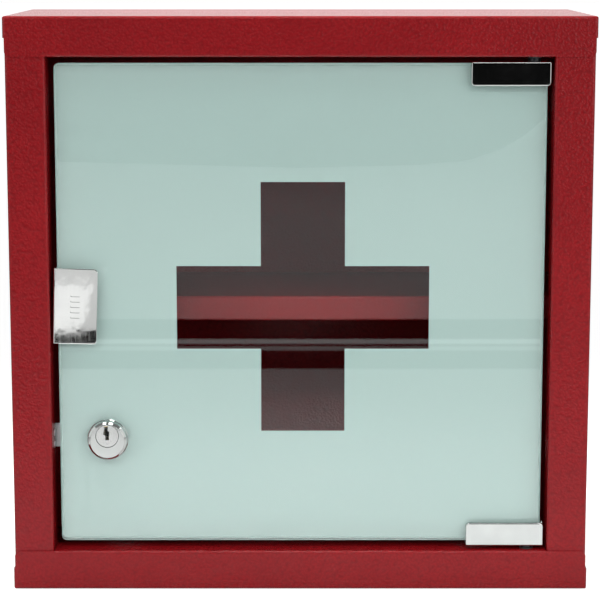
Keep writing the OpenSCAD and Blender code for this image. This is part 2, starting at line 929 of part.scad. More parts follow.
module latch_spring() {
    turns = 5;
    steps = 16;
    sides = 8;
    rings = turns * steps;
    spring_len = spring_back_y - plunger_back_y - 2 * spring_wire_r;
    points = [for (i = [0 : rings])
        each wire_ring(i / steps, spring_coil_r, spring_wire_r, spring_len / turns, sides)];
    skin = [for (i = [0 : rings - 1], k = [0 : sides - 1])
        let (n = (k + 1) % sides)
            [i * sides + k, i * sides + n, (i + 1) * sides + n, (i + 1) * sides + k]];
    start = [for (k = [sides - 1 : -1 : 0]) k];
    end = [for (k = [0 : sides - 1]) rings * sides + k];
    color(steel)
        translate([latch_x, plunger_back_y + spring_wire_r, latch_z])
            polyhedron(points = points, faces = concat(skin, [start, end]));
}

// ---- Lock ----------------------------------------------------------------

module lock_housing() {
    color(steel)
        difference() {
            union() {
                rod_y(lock_x, lock_z, face_d / 2, lock_face_y, glass_front_y - rim_h,
                      bezel_d / 2 - bezel_bevel);
                rod_y(lock_x, lock_z, bezel_d / 2, glass_front_y - rim_h, glass_front_y);
                rod_y(lock_x, lock_z, body_d / 2, glass_front_y, lock_back_y);
            }
            rod_y(lock_x, plug_z, plug_d / 2 + run_gap, lock_face_y - cut, lock_back_y + cut);
        }
}

module lock_gasket() {
    color(rubber_black)
        difference() {
            rod_y(lock_x, lock_z, nut_af / 2, film_back_y, film_back_y + gasket_t);
            rod_y(lock_x, lock_z, body_d / 2 + slip_gap, film_back_y - cut, film_back_y + gasket_t + cut);
        }
}

module lock_nut() {
    nut_y = film_back_y + gasket_t;
    color(zinc)
        difference() {
            translate([lock_x, nut_y + nut_t, lock_z])
                rotate([90, 0, 0])
                    cylinder(h = nut_t, r = nut_af / 2 / cos(30), $fn = 6);
            rod_y(lock_x, lock_z, body_d / 2 + thread_gap, nut_y - cut, nut_y + nut_t + cut);
        }
}

// Warded outline of the keyway, about the plug axis
module keyway() {
    for (i = [0 : len(key_sides) - 1])
        strip(key_sides[i][0], key_steps[i + 1], key_sides[i][1], key_steps[i]);
}

function wafer_y(i) = lock_face_y + (i + 1) * wafer_pitch;

module lock_plug() {
    plug_front_y = lock_face_y + plug_sunk;
    tail_end_y = cam_back_y - slip_gap / 2;
    screw_depth = 7;
    color(steel)
        difference() {
            union() {
                rod_y(lock_x, plug_z, plug_d / 2, plug_front_y, lock_back_y + slip_gap / 2);
                along_y(lock_back_y, tail_end_y)
                    translate([lock_x, plug_z])
                        square(tail_side, center = true);
            }
            along_y(plug_front_y - cut, plug_front_y + key_slot_depth)
                translate([lock_x, plug_z])
                    keyway();
            rod_y(lock_x + dimple_right, plug_z - dimple_drop, dimple_d / 2,
                  plug_front_y - cut, plug_front_y + dimple_depth);
            for (i = [0 : wafer_count - 1])
                along_y(wafer_y(i) - wafer_t / 2 - run_gap, wafer_y(i) + wafer_t / 2 + run_gap)
                    translate([lock_x, plug_z])
                        square([wafer_w + 2 * run_gap, wafer_h + 2 * run_gap], center = true);
            rod_y(lock_x, plug_z, cam_screw_d / 2 + thread_gap,
                  tail_end_y - screw_depth, tail_end_y + cut);
        }
}

module lock_wafers() {
    window_w = 4;
    window_low = -2.4;
    window_high = 4.5;
    color(brass)
        for (i = [0 : wafer_count - 1])
            along_y(wafer_y(i) - wafer_t / 2, wafer_y(i) + wafer_t / 2)
                translate([lock_x, plug_z])
                    difference() {
                        square([wafer_w, wafer_h], center = true);
                        strip(-window_w / 2, window_low, window_w / 2, window_high);
                    }
}

// Cam that hangs down when the door is unlocked and turns to the left to lock
module lock_cam() {
    hub_r = tail_side / 2 + cam_hub_wall;
    tip_z = -cam_len;
    color(zinc)
        along_y(cam_front_y, cam_back_y)
            translate([lock_x, plug_z])
                difference() {
                    union() {
                        circle(r = hub_r);
                        strip(-cam_w / 2, tip_z, cam_w / 2, 0);
                    }
                    corner_cut(-cam_w / 2, tip_z, 1, 1, cam_tip_r);
                    corner_cut(cam_w / 2, tip_z, -1, 1, cam_tip_r);
                    square(tail_side + 2 * thread_gap, center = true);
                }
}

module cam_washer() {
    color(steel)
        difference() {
            rod_y(lock_x, plug_z, tail_side / 2 + washer_wall, cam_back_y, cam_back_y + washer_t);
            rod_y(lock_x, plug_z, cam_screw_d / 2 + slip_gap,
                  cam_back_y - cut, cam_back_y + washer_t + cut);
        }
}

module cam_screw() {
    screw_len = 6;
    color(steel)
        translate([lock_x, cam_back_y + washer_t, plug_z])
            rotate([-90, 0, 0])
                pan_screw(cam_screw_d, screw_len);
}

// Angle behind the door opening that the cam turns behind
module lock_keeper() {
    keeper_front_y = front_y + bend_out + keeper_inset;
    color(zinc)
        difference() {
            along_z(keeper_z - keeper_h / 2, keeper_z + keeper_h / 2) {
                strip(keeper_seat_x - keeper_t, keeper_front_y,
                      keeper_seat_x, keeper_back_y - bend_r - keeper_t);
                bend_at(keeper_seat_x - keeper_t, keeper_back_y, 1, -1, keeper_t, bend_r);
                strip(keeper_seat_x + bend_r, keeper_back_y - keeper_t, keeper_tip_x, keeper_back_y);
            }
            for (z = rivet_zs)
                rod_x(rivet_y, z, rivet_d / 2 + run_gap,
                      keeper_seat_x - keeper_t - cut, keeper_seat_x + cut);
        }
}

// Rivets through the return and the keeper, with a low head on each side
module keeper_rivets() {
    color(zinc)
        for (z = rivet_zs) {
            rod_x(rivet_y, z, rivet_d / 2, keeper_seat_x - keeper_t, -open_x);
            rod_x(rivet_y, z, rivet_d / 2 + rivet_head_lip, -open_x, -open_x + rivet_head_t);
            rod_x(rivet_y, z, rivet_d / 2 + rivet_head_lip, keeper_seat_x - keeper_t - rivet_head_t,
                  keeper_seat_x - keeper_t);
        }
}

top_pan();
bottom_pan();
left_side_panel();
right_side_panel();
back_panel();
shelf();
left_shelf_rail();
right_shelf_rail();
shelf_screws();
shelf_nuts();
top_pivot_bush();
bottom_pivot_bush();
lock_keeper();
keeper_rivets();
latch_housing();
latch_end_cap();
latch_screws();
latch_spring();
latch_plunger();
latch_magnet();
door_glass();
frosted_film();
top_hinge_clamp();
bottom_hinge_clamp();
hinge_pads();
hinge_set_screws();
top_pivot_pin();
bottom_pivot_pin();
push_plate();
push_plate_pad();
push_plate_screws();
lock_housing();
lock_gasket();
lock_nut();
lock_plug();
lock_wafers();
lock_cam();
cam_washer();
cam_screw();
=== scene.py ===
"""Looks of a lockable wall-hung medicine cabinet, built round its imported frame.

Lengths are metres in the frame's own axes: x to the right seen from the front,
y from the door into the cabinet, z up, with the origin at the centre of the base.
Angles are degrees, and colours are linear red, green and blue.
"""

import json
import math

import bmesh
import bpy
from mathutils import Matrix, Vector


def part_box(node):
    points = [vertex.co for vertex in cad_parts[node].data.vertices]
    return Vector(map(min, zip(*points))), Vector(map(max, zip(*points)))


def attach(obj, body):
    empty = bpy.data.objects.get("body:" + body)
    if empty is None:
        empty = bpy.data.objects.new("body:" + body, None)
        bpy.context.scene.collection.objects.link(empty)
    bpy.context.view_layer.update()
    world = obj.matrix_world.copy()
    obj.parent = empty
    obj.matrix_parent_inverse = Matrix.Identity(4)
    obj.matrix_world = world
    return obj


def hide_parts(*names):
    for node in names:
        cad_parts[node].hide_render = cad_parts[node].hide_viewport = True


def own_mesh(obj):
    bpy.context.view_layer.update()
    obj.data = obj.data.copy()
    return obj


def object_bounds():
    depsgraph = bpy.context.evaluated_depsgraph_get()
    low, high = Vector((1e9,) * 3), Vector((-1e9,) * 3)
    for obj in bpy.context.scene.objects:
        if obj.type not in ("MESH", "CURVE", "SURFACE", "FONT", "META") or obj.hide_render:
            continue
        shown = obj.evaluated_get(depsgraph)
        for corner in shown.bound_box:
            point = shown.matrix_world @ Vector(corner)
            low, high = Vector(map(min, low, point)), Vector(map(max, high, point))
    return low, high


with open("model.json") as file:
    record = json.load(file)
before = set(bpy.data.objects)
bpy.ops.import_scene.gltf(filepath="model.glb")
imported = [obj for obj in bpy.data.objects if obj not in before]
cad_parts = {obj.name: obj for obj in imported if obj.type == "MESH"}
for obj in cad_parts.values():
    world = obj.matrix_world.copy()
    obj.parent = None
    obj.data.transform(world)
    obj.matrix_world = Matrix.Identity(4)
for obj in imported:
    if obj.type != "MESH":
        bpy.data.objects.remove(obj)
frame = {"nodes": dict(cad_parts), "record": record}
cad_low, cad_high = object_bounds()

MM = 0.001

# ---- Sizes -------------------------------------------------------------------

# Meshes: how far a cutter reaches past what it cuts, sides of round cutters and of
# turned pieces, and the distances at which points are joined
OVERCUT = 1 * MM
ROD_SIDES = 48
LATHE_SIDES = 128
WELD_DISTANCE = 0.002 * MM
DOUBLE_DISTANCE = 0.001 * MM

# Camera, before the middle of the cabinet's front
CAMERA_AHEAD = 1.0865
CAMERA_HEIGHT = 0.3321
CAMERA_X = -0.12 * MM
CAMERA_PITCH = 9.331
CAMERA_LENS = 128.84
CAMERA_SENSOR = 36
CAMERA_CLIP = (0.05, 100)

# Door glass and its frosted layer
GLASS_CORNER = 2.5 * MM
GLASS_ARRIS = 0.9 * MM
FLAT_ANGLE = 15.0
FILM_OFFSET = 0.02 * MM
FILM_EDGE = 0.05 * MM
CROSS_SPAN = 130.3 * MM
CROSS_ARM = 43.3 * MM
CROSS_RIGHT = 1.1 * MM
CROSS_DOWN = 1.2 * MM
LOCK_HOLE_GAP = 0.2 * MM

# Glass clamps; the set screws sit at shares of a clamp's length
CLAMP_EDGE = 0.7 * MM
CLAMP_CORNER = 2 * MM
CLAMP_WEB = 0.8 * MM
SET_SCREW_HOLE = 2.02 * MM
SET_SCREW_SHARES = (0.25, 0.5)
PIN_HOLE = 1.52 * MM
PIN_REACH = 2 * MM

# Push plate; a stroke's ends are a little less than full half circles
PLATE_SHEET = 1.2 * MM
PLATE_LEAN = 0.4
PLATE_SKEW = 1.8
PLATE_BEND = 0.9 * MM
PLATE_CORNER = 2.2 * MM
PLATE_EDGE = 0.4 * MM
FOLD_R = 0.2 * MM
PLATE_SCREW_HOLE = 1.52 * MM
PLATE_SCREW_INSET = 6 * MM
GRIP_COUNT = 5
GRIP_PITCH = 2.8 * MM
GRIP_WIDTH = 5 * MM
GRIP_HEIGHT = 1.2 * MM
GRIP_DEPTH = 0.6 * MM
GRIP_ROUND = 0.98

# Lock
LOCK_FACE_R = 9 * MM
LOCK_BEZEL_R = 10.6 * MM
LOCK_BEVEL = 0.3 * MM
LOCK_FLARE_R = 9.95 * MM
LOCK_FLARE_DEPTH = 1.05 * MM
LOCK_RIM = 0.9 * MM
LOCK_FOOT = 0.1 * MM
LOCK_BODY_R = 9 * MM
LOCK_ROUND = 0.35 * MM
LOCK_ROUND_TURN = 70
LOCK_SOFT = 0.15 * MM
LOCK_SOFT_ANGLE = 50.0
PLUG_HOLE_R = 6.05 * MM

# Spring of the touch latch
SPRING_WIRE_R = 0.35 * MM
SPRING_TURNS = 5
SPRING_STEPS = 32
SPRING_SMOOTH_ANGLE = 50.0

# ---- Finishes ------------------------------------------------------------------

# Powder coat: sizes and depth of its relief, size of its patches, its tones, and the painted shade
# on its relief
PEEL_CELL = 1.25 * MM
PEEL_GRAIN = 0.55 * MM
PEEL_DEPTH = 0.21 * MM
PEEL_WANDER = 1.1 * MM
PEEL_WANDER_SIZE = 2.4 * MM
PAINT_PATCH = 45 * MM
PAINT_DEEP = (0.205, 0.0045, 0.0072)
PAINT_BRIGHT = (0.262, 0.0066, 0.0095)
PAINT_RELIEF_SHADE = (0.155, 0.0036, 0.0057)

# Glass: its tints, the tone of its ground edges and of the light it lets through.
# A face counts as ground where its normal's y is below GROUND_FACING.
GLASS_TINTS = ((0.974, 0.99, 0.984), (0.965, 0.985, 0.979))
GLASS_GROUND = (0.8, 0.93, 0.9)
GLASS_LIGHT = (0.96, 0.985, 0.978, 1)
GROUND_FACING = 0.95

# Frosted film, and how much of it is translucent
FROST_TINTS = ((0.478, 0.603, 0.577), (0.508, 0.636, 0.61))
FROST_THROUGH = 0.2

# Rounding of the sharp edges of the carried-over nodes, by slot
SLOT_EDGES = {
    "red_paint": 0.34 * MM,
    "chrome": 0.2 * MM,
    "satin_nickel": 0.2 * MM,
    "zinc_steel": 0.12 * MM,
    "black_steel": 0.12 * MM,
    "brass": 0.04 * MM,
    "magnet": 0.1 * MM,
    "grey_plastic": 0.25 * MM,
    "black_nylon": 0.12 * MM,
    "rubber": 0.15 * MM,
}

# ---- Studio --------------------------------------------------------------------

WORLD_LIGHT = 0.5

# Soft boxes: name, place, target, width, height as a share of width, power, spread
LAMPS = (
    ("key_softbox", (1.2, -1.5, 0.8), (0, 0, 0.1), 1.5, 1.0, 12.8, 180),
    ("fill_softbox", (-1.3, -1.5, 0.8), (0, 0, 0.1), 1.5, 1.0, 9.4, 180),
    ("strip_softbox", (0.0, -1.6, 1.2), (0, 0, 0.28), 1.6, 0.08, 5, 180),
    ("top_softbox", (0.0, 0.03, 0.95), (0, 0.03, 0), 0.5, 0.5, 1.5, 60),
    ("floor_softbox_0", (-0.27, -0.3, 0.62), (-0.27, -0.3, 0), 0.15, 1.6, 0.32, 60),
    ("floor_softbox_1", (0.0, -0.3, 0.62), (0.0, -0.3, 0), 0.15, 1.6, 0.32, 60),
    ("floor_softbox_2", (0.27, -0.3, 0.62), (0.27, -0.3, 0), 0.15, 1.6, 0.32, 60),
)

# Lamps that don't show in gloss
LAMPS_WITHOUT_GLOSS = ("top_softbox",)

# Floor: its tone, how far it is lifted to white from near to far, and its size
FLOOR_TONE = (0.61, 0.61, 0.61)
FLOOR_SHADE = 0.98
FLOOR_LIFT_NEAR = 0.62
FLOOR_LIFT_FAR = 0.7
FLOOR_NEAR = 0.8
FLOOR_FAR = 2.5
FLOOR_R = 12.0
FLOOR_SIDES = 96
FLOOR_DEPTH = 20 * MM
FLOOR_GAP = 0.2 * MM

# Dark ceiling, seen only in reflections
CEILING_Z = 1.9
CEILING_REACH = 2.5
CEILING_BACK = 1.25
CEILING_DEPTH = 0.01
CEILING_GLOW = 0.25

# Dark room beyond the table, seen only in reflections, with its outline of x and z
ROOM_AHEAD = 2.03
ROOM_DEPTH = 0.03
ROOM_GLOW = 0.006
ROOM_OUTLINE = (
    (-3, 0.03), (-0.343, 0.0285), (0, 0.0199), (0.1715, 0.0242), (0.243, 0.0314),
    (0.286, 0.0457), (0.322, 0.0672), (0.347, 0.0886), (0.6, 0.25), (3, 0.4), (3, 2.5),
    (-3, 2.5),
)

# Strips on the table before the cabinet, seen only in reflections: name, left, right,
# far and near distance, bottom, top, strength
TABLE_STRIPS = (
    ("table_gap_card", -0.3, 0.3, 0.873, 0.643, 0.0, 0.0005, 0.0),
    ("table_rail_card", -0.3, 0.3, 0.7687, 0.7488, 0.0007, 0.0012, 1.0),
    ("table_edge_card", -0.3, 0.3, 0.7357, 0.7187, 0.0007, 0.0012, 0.6),
    ("bounce_card", -0.36, -0.2, 1.19, 0.875, 0.0, 0.0005, 0.92),
)

# ---- Mesh helpers --------------------------------------------------------------


def centre(low, high):
    """Middle of a box, as x, y, z."""
    return [(a + b) / 2 for a, b in zip(low, high)]


def add_object(name, data):
    """New object in the scene's own collection."""
    obj = bpy.data.objects.new(name, data)
    bpy.context.scene.collection.objects.link(obj)
    return obj


def evaluated_mesh(obj):
    """Mesh of the object as it is shown, with its modifiers or its curve's surface."""
    graph = bpy.context.evaluated_depsgraph_get()
    return bpy.data.meshes.new_from_object(obj.evaluated_get(graph))


def curve_mesh(curve):
    """Mesh of a curve's surface."""
    maker = add_object(curve.name + "_curve", curve)
    mesh = evaluated_mesh(maker)
    bpy.data.objects.remove(maker)
    return mesh


def apply_modifiers(obj):
    """The object's modifiers become part of its mesh."""
    mesh = evaluated_mesh(obj)
    obj.modifiers.clear()
    obj.data = mesh
    return obj


def tidy_mesh(mesh):
    """Joins doubled points and turns every face outwards."""
    work = bmesh.new()
    work.from_mesh(mesh)
    bmesh.ops.remove_doubles(work, verts=work.verts, dist=DOUBLE_DISTANCE)
    bmesh.ops.dissolve_degenerate(work, edges=work.edges, dist=DOUBLE_DISTANCE)
    bmesh.ops.recalc_face_normals(work, faces=work.faces)
    work.to_mesh(mesh)
    work.free()


def shade(obj, angle=30.0):
    """Smooth shading, with edges sharper than angle left sharp."""
    mesh = obj.data
    mesh.polygons.foreach_set("use_smooth", [True] * len(mesh.polygons))
    mesh.set_sharp_from_angle(angle=math.radians(angle))
    return obj


def carve(obj, cutters, operation="DIFFERENCE"):
    """Cuts each cutter out of obj, or keeps what is inside it with INTERSECT."""
    for cutter in cutters:
        cut = obj.modifiers.new("carve", "BOOLEAN")
        cut.operation = operation
        cut.solver = "EXACT"
        cut.object = cutter
        apply_modifiers(obj)
        bpy.data.objects.remove(cutter)
    return obj


def flatten(obj):
    """Keeps the shading of flat faces flat next to their rounded edges."""
    normals = obj.modifiers.new("normals", "WEIGHTED_NORMAL")
    normals.keep_sharp = True
    normals.weight = 100
    return obj


def soften(obj, width, angle=35.0, weld=False):
    """Rounds the sharp edges of obj by width.

    Welding first joins the split corners of a frame mesh.
    """
    if weld:
        join = obj.modifiers.new("weld", "WELD")
        join.merge_threshold = WELD_DISTANCE
    edge = obj.modifiers.new("soften", "BEVEL")
    edge.width = width
    edge.segments = 2
    edge.limit_method = "ANGLE"
    edge.angle_limit = math.radians(angle)
    edge.use_clamp_overlap = True
    return flatten(obj)


def arc(x, z, radius, start, turn, steps=10):
    """Points on an arc about x, z that begins at start degrees and goes on for turn degrees."""
    angles = [math.radians(start + turn * i / steps) for i in range(steps + 1)]
    return [(x + radius * math.cos(a), z + radius * math.sin(a)) for a in angles]


def rounded(x0, z0, x1, z1, radii):
    """Rectangle whose corners have these radii, from the lower left one anticlockwise."""
    corners = [(x0, z0, 1, 1), (x1, z0, -1, 1), (x1, z1, -1, -1), (x0, z1, 1, -1)]
    points = []
    for i, (x, z, sx, sz) in enumerate(corners):
        radius = radii[i]
        points += arc(x + sx * radius, z + sz * radius, radius, 180 + 90 * i, 90)
    return points


def circle(x, z, radius, steps=72):
    """Closed outline of a circle."""
    return arc(x, z, radius, 0, 360, steps)[:-1]


def plate(name, loops, y0, y1, edge=0.0, steps=3):
    """Solid from y0 to y1 whose outline and holes are the loops of x, z.

    Its rims are rounded by edge.
    """
    curve = bpy.data.curves.new(name, "CURVE")
    curve.dimensions = "2D"
    curve.fill_mode = "BOTH"
    curve.extrude = (y1 - y0) / 2 - edge
    curve.bevel_depth = edge
    curve.bevel_resolution = steps - 1
    curve.offset = -edge
    for loop in loops:
        spline = curve.splines.new("POLY")
        spline.points.add(len(loop) - 1)
        for point, (x, z) in zip(spline.points, loop):
            point.co = (x, z, 0, 1)
        spline.use_cyclic_u = True
    mesh = curve_mesh(curve)
    stand = Matrix.Rotation(math.pi / 2, 4, "X")
    mesh.transform(Matrix.Translation((0, (y0 + y1) / 2, 0)) @ stand)
    tidy_mesh(mesh)
    return shade(add_object(name, mesh))


def lathe(name, profile, x, z):
    """Solid of revolution about an axis along y through x, z; profile lists radius and y."""
    work = bmesh.new()
    rings = []
    for i in range(LATHE_SIDES):
        turn = 2 * math.pi * i / LATHE_SIDES
        rings.append([
            work.verts.new((x + r * math.cos(turn), y, z + r * math.sin(turn)))
            for r, y in profile
        ])
    for i in range(LATHE_SIDES):
        here, there = rings[i], rings[(i + 1) % LATHE_SIDES]
        for k in range(len(profile) - 1):
            work.faces.new((here[k], here[k + 1], there[k + 1], there[k]))
    mesh = bpy.data.meshes.new(name)
    work.to_mesh(mesh)
    work.free()
    tidy_mesh(mesh)
    return shade(add_object(name, mesh))


def block(name, low, high):
    """Box between two corners."""
    work = bmesh.new()
    bmesh.ops.create_cube(work, size=1)
    size = Vector(high) - Vector(low)
    middle = (Vector(high) + Vector(low)) / 2
    bmesh.ops.scale(work, vec=size, verts=work.verts)
    bmesh.ops.translate(work, vec=middle, verts=work.verts)
    mesh = bpy.data.meshes.new(name)
    work.to_mesh(mesh)
    work.free()
    return add_object(name, mesh)


def rod_cutter(x, z, radius, y0, y1):
    """Round cutter along y."""
    return plate("rod_cutter", [circle(x, z, radius, ROD_SIDES)], y0, y1)


def post_cutter(outline, z0, z1):
    """Cutter along z with an outline of x, y."""
    cutter = plate("post_cutter", [[(x, -y) for x, y in outline]], z0, z1)
    cutter.data.transform(Matrix.Rotation(math.pi / 2, 4, "X"))
    return cutter


# ---- Materials -----------------------------------------------------------------


class Surface:
    """Node graph of one material, round a Principled shader."""

    def __init__(self, name):
        self.material = bpy.data.materials.new(name)
        self.material.use_nodes = True
        self.tree = self.material.node_tree
        self.tree.nodes.clear()
        self.out = self.node("OutputMaterial")
        self.shader = self.node("BsdfPrincipled")
        self.place = self.node("TexCoord").outputs["Object"]
        self.show(self.shader.outputs[0])

    def node(self, kind, settings=None, **inputs):
        """Adds a node; settings are its attributes, inputs its values or links by socket name."""
        made = self.tree.nodes.new("ShaderNode" + kind)
        for key, value in (settings or {}).items():
            setattr(made, key, value)
        for key, value in inputs.items():
            self.feed(made.inputs[key], value)
        return made

    def feed(self, socket, value):
        """Sets a socket to a value, or links an output to it."""
        if isinstance(value, bpy.types.NodeSocket):
            self.tree.links.new(value, socket)
        else:
            socket.default_value = value

    def set(self, **inputs):
        """Sets inputs of the Principled shader, with _ for a space in a name."""
        for key, value in inputs.items():
            self.feed(self.shader.inputs[key.replace("_", " ")], value)

    def show(self, output):
        """Sends a shader to the material's surface."""
        self.tree.links.new(output, self.out.inputs["Surface"])

    def show_blend(self, share, first, second):
        """Shows the first shader node, and the second one by share."""
        blend = self.node("MixShader", Fac=share)
        self.tree.links.new(first.outputs[0], blend.inputs[1])
        self.tree.links.new(second.outputs[0], blend.inputs[2])
        self.show(blend.outputs[0])

    def stretched(self, factors):
        """Object coordinates scaled by a factor along each axis."""
        return self.node("Mapping", Vector=self.place, Scale=factors).outputs[0]

    def noise(self, size, detail=2.0, rough=0.5, place=None):
        """Noise whose features are about size across, from 0 to 1."""
        made = self.node(
            "TexNoise", Vector=place or self.place, Scale=1 / size, Detail=detail, Roughness=rough
        )
        return made.outputs[0]

    def cells(self, size, smooth, place):
        """Soft round cells about size across, 0 at their middles."""
        made = self.node(
            "TexVoronoi", {"feature": "SMOOTH_F1"}, Vector=place, Scale=1 / size, Smoothness=smooth
        )
        return made.outputs[0]

    def remap(self, value, low, high, start=0.3, stop=0.7):
        """Value between start and stop, taken to low and high."""
        made = self.node("MapRange", Value=value)
        ends = {"From Min": start, "From Max": stop, "To Min": low, "To Max": high}
        for key, number in ends.items():
            made.inputs[key].default_value = number
        return made.outputs[0]

    def maths(self, operation, *values):
        """Maths of two or three values."""
        made = self.node("Math", {"operation": operation})
        for socket, value in zip(made.inputs, values):
            self.feed(socket, value)
        return made.outputs[0]

    def mix(self, share, a, b):
        """Colour between a and b."""
        made = self.node("Mix", {"data_type": "RGBA"})
        self.feed(made.inputs[0], share)
        self.feed(made.inputs[6], (*a, 1) if isinstance(a, tuple) else a)
        self.feed(made.inputs[7], (*b, 1) if isinstance(b, tuple) else b)
        return made.outputs[2]

    def seen(self):
        """1 where a surface is seen by the camera itself or straight through glass, else 0."""
        path = self.node("LightPath").outputs
        straight = self.maths("LESS_THAN", path["Glossy Depth"], 0.5)
        through = self.maths("MULTIPLY", path["Is Transmission Ray"], straight)
        return self.maths("MAXIMUM", path["Is Camera Ray"], through)

    def bump(self, height, depth, strength=1.0, onto=None):
        """Normal of a surface whose height goes from 0 to depth."""
        made = self.node("Bump", Height=height, Distance=depth, Strength=strength)
        if onto is not None:
            self.feed(made.inputs["Normal"], onto)
        return made.outputs[0]


def red_paint():
    """Red powder coat with a fine leathery orange-peel texture."""
    s = Surface("red_powder_coat")
    warp = s.node("VectorMath", {"operation": "MULTIPLY_ADD"})
    wander = s.node("TexNoise", Vector=s.place, Scale=1 / PEEL_WANDER_SIZE, Detail=1.0)
    s.feed(warp.inputs[0], wander.outputs["Color"])
    s.feed(warp.inputs[1], (PEEL_WANDER,) * 3)
    s.feed(warp.inputs[2], s.place)
    cells = s.cells(PEEL_CELL, 0.8, warp.outputs[0])
    grain = s.noise(PEEL_GRAIN, 2.0)
    peel = s.maths("MULTIPLY_ADD", cells, 1.0, s.maths("MULTIPLY", grain, 0.35))
    patches = s.noise(PAINT_PATCH, 3.0)
    tone = s.mix(s.remap(patches, 0.2, 0.8), PAINT_DEEP, PAINT_BRIGHT)
    # Painted shade: the coat is darkened where the peel's cells meet, following its relief
    relief_shade = s.remap(cells, 0.0, 1.0, 0.25, 0.95)
    s.set(
        Base_Color=s.mix(relief_shade, tone, PAINT_RELIEF_SHADE),
        Roughness=s.remap(grain, 0.16, 0.26),
        Normal=s.bump(peel, PEEL_DEPTH),
        Specular_IOR_Level=0.26,
    )
    return s.material


def glass():
    """Clear float glass with a faint green tint, which lets lamps through."""
    s = Surface("door_float_glass")
    tint = s.mix(s.noise(120 * MM, 1.0), *GLASS_TINTS)
    facing = s.node("SeparateXYZ", Vector=s.node("TexCoord").outputs["Normal"]).outputs["Y"]
    ground = s.maths("LESS_THAN", s.maths("ABSOLUTE", facing), GROUND_FACING)
    s.set(
        Base_Color=s.mix(ground, tint, GLASS_GROUND),
        Roughness=s.maths("MULTIPLY", ground, 0.5),
        IOR=1.5,
        Transmission_Weight=1.0,
    )
    path = s.node("LightPath").outputs
    lamps = s.maths("MAXIMUM", path["Is Shadow Ray"], path["Is Diffuse Ray"])
    s.show_blend(lamps, s.shader, s.node("BsdfTransparent", Color=GLASS_LIGHT))
    return s.material


def frosted_film():
    """Pale mint frosted layer that lets a little light into the cabinet."""
    s = Surface("mint_frosted_film")
    haze = s.mix(s.noise(0.16, 2.0), *FROST_TINTS)
    grain = s.noise(0.35 * MM, 2.0)
    s.set(
        Base_Color=haze,
        Roughness=s.remap(grain, 0.5, 0.7),
        Normal=s.bump(grain, 0.01 * MM, 0.4),
        Specular_IOR_Level=0.2,
    )
    s.show_blend(FROST_THROUGH, s.shader, s.node("BsdfTranslucent", Color=haze))
    return s.material


def metal(name, dark, light, rough, grain_size=0.4 * MM, depth=0.004 * MM, stretch=None):
    """Bare or plated metal whose tone and roughness wander, with fine drawn or ground marks."""
    s = Surface(name)
    place = s.stretched(stretch) if stretch else None
    grain = s.noise(grain_size, 3.0, 0.6, place)
    cloud = s.noise(14 * MM, 3.0)
    low, high = rough
    s.set(
        Base_Color=s.mix(s.remap(cloud, 0.0, 1.0), dark, light),
        Metallic=1.0,
        Roughness=s.maths("ADD", s.remap(cloud, low, high), s.remap(grain, -0.02, 0.02)),
        Normal=s.bump(grain, depth, 0.5),
    )
    return s.material


def plate_chrome():
    """Polished plate that leans back a little, with soft waves and faint vertical rub marks."""
    s = Surface("polished_plate_chrome")
    up = s.node("SeparateXYZ", Vector=s.place).outputs["Z"]
    lean = s.maths("MULTIPLY", up, -math.tan(math.radians(PLATE_LEAN)))
    waves = s.noise(9 * MM, 2.0)
    rubs = s.noise(1.2 * MM, 3.0, 0.6, s.stretched((1, 1, 0.1)))
    smears = s.remap(s.noise(16 * MM, 3.0), 0.0, 1.0)
    leaning = s.bump(lean, 1.0)
    waved = s.bump(waves, 0.02 * MM, 1.0, leaning)
    s.set(
        Base_Color=s.mix(smears, (0.85, 0.865, 0.85), (0.93, 0.94, 0.925)),
        Metallic=1.0,
        Roughness=s.maths(
            "ADD", s.remap(smears, 0.02, 0.05, 0.0, 1.0), s.remap(rubs, -0.01, 0.02)
        ),
        Normal=s.bump(rubs, 0.002 * MM, 0.5, waved),
    )
    return s.material


def plastic(name, dark, light, rough, grain_size=0.5 * MM, depth=0.01 * MM):
    """Moulded plastic or rubber with a fine eroded texture."""
    s = Surface(name)
    grain = s.noise(grain_size, 3.0, 0.6)
    cloud = s.noise(9 * MM, 2.0)
    low, high = rough
    s.set(
        Base_Color=s.mix(s.remap(cloud, 0.0, 1.0), dark, light),
        Roughness=s.remap(grain, low, high),
        Normal=s.bump(grain, depth, 0.6),
    )
    return s.material


SLOT_MATERIALS = {
    "red_paint": red_paint(),
    "glass": glass(),
    "frosted_film": frosted_film(),
    "chrome": metal(
        "bright_chrome", (0.53, 0.55, 0.54), (0.59, 0.61, 0.6), (0.03, 0.06),
        grain_size=1.5 * MM, depth=0.002 * MM,
    ),
    "satin_nickel": metal(
        "satin_nickel_plate", (0.58, 0.59, 0.58), (0.67, 0.68, 0.67), (0.14, 0.22),
        grain_size=0.5 * MM, depth=0.003 * MM, stretch=(1, 1, 0.12),
    ),
    "zinc_steel": metal(
        "zinc_plated_steel", (0.52, 0.53, 0.55), (0.66, 0.67, 0.68), (0.26, 0.4)
    ),
    "black_steel": metal(
        "blackened_pin_steel", (0.022, 0.022, 0.024), (0.04, 0.04, 0.043), (0.3, 0.42)
    ),
    "spring_steel": metal(
        "spring_wire_steel", (0.44, 0.44, 0.46), (0.56, 0.56, 0.57), (0.3, 0.42)
    ),
    "brass": metal(
        "stamped_brass", (0.62, 0.46, 0.2), (0.76, 0.6, 0.3), (0.24, 0.36)
    ),
    "magnet": metal(
        "nickel_plated_magnet", (0.6, 0.6, 0.62), (0.7, 0.7, 0.72), (0.18, 0.28)
    ),
    "grey_plastic": plastic(
        "moulded_grey_plastic", (0.33, 0.33, 0.32), (0.38, 0.38, 0.37), (0.42, 0.56)
    ),
    "black_nylon": plastic(
        "moulded_black_nylon", (0.018, 0.018, 0.019), (0.03, 0.03, 0.031), (0.4, 0.55)
    ),
    "rubber": plastic(
        "black_rubber", (0.012, 0.012, 0.012), (0.022, 0.022, 0.022), (0.6, 0.8)
    ),
}

